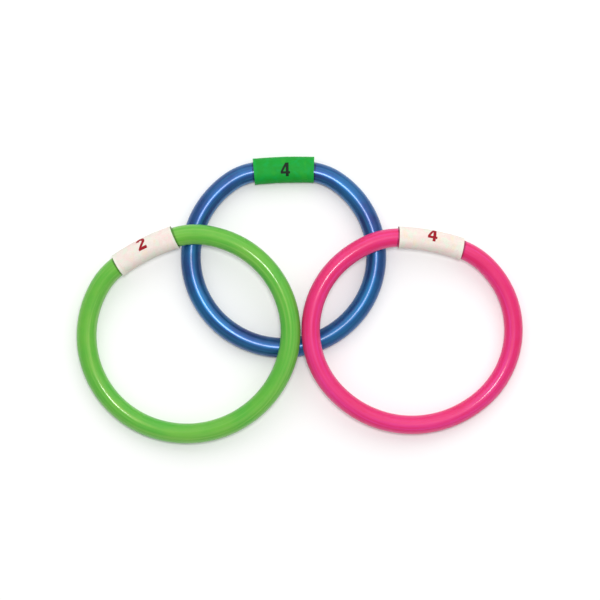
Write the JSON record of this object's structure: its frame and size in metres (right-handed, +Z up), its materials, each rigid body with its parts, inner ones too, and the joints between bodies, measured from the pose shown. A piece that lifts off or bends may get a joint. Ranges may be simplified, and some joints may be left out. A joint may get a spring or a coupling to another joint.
{
  "type": "ring toss set",
  "caption": "Bent-hose throwing rings for a garden toss game, one flat and the others leaning on it, each closed by a label with a printed score.",
  "frame": {"origin": "on the table, under the middle of the set's bounding box", "axes": "+X to the player's right along the set's longest side, +Y away from the player, +Z up, the set's thinnest way"},
  "size_m": [0.3126, 0.2004, 0.0319],
  "materials": {
    "blue_hose": "metallic gloss",
    "green_hose": "satin gloss",
    "pink_hose": "satin gloss",
    "plug": "natural moulded",
    "green_label": "matt paper label",
    "white_label": "matt paper label",
    "red_ink": "printed ink",
    "black_ink": "printed ink"
  },
  "bodies": {
    "blue_ring": {"blue_hose": "blue_hose", "blue_plug": "plug", "blue_label": "green_label", "blue_number": "black_ink"},
    "green_ring": {"green_hose": "green_hose", "green_plug": "plug", "green_label": "white_label", "green_number": "red_ink"},
    "pink_ring": {"pink_hose": "pink_hose", "pink_plug": "plug", "pink_label": "white_label", "pink_number": "red_ink"}
  },
  "joints": [
    {"name": "green_ring_lift", "type": "slide", "parent": "blue_ring", "child": "green_ring", "axis": [0, 0, 1], "range_m": [0, 0.08]},
    {"name": "pink_ring_lift", "type": "slide", "parent": "blue_ring", "child": "pink_ring", "axis": [0, 0, 1], "range_m": [0, 0.08]}
  ]
}
